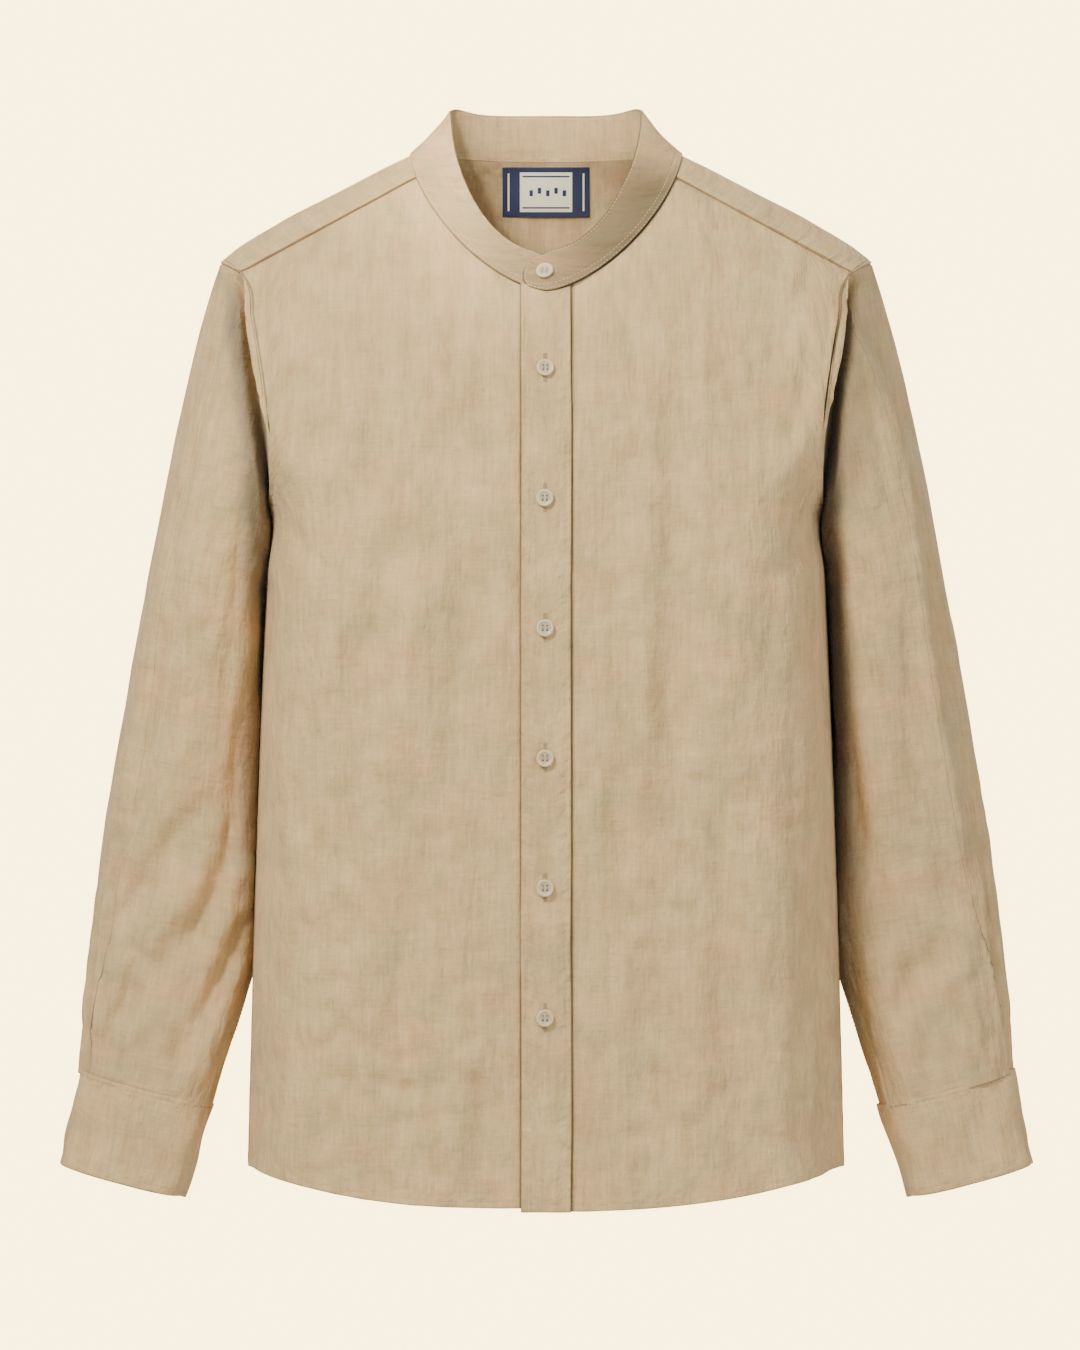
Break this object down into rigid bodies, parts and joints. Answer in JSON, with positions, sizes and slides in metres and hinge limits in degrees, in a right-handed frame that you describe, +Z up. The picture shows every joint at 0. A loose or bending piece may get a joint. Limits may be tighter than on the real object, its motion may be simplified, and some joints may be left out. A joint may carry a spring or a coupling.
{
  "type": "shirt",
  "caption": "Long-sleeved linen shirt with a band (mandarin) collar, buttoned front strip, back yoke, curved hem and buttoned cuffs, filled out as if worn",
  "frame": {"origin": "middle of the neck, level with the two points where the shoulders meet the collar band, where the wearer's shoulders hold the shirt up", "axes": "+Z up, the wearer's front faces -Y, the wearer's left is +X"},
  "size_m": [0.6928, 0.2455, 0.7814],
  "materials": {
    "linen": "slubby plain-weave linen, matte",
    "linen_pressed": "two layers of the linen with interlining, pressed",
    "button": "satin, slightly marbled",
    "label": "woven label, satin"
  },
  "bodies": {
    "root": {"front_left": "linen", "front_right": "linen", "placket": "linen_pressed", "back": "linen", "yoke": "linen", "collar_band": "linen_pressed", "sleeve_left": "linen", "sleeve_right": "linen", "cuff_left": "linen_pressed", "cuff_right": "linen_pressed", "label": "label", "button_collar": "button", "button_front_1": "button", "button_front_2": "button", "button_front_3": "button", "button_front_4": "button", "button_front_5": "button", "button_front_6": "button", "button_cuff_left": "button", "button_cuff_right": "button"}
  },
  "joints": []
}
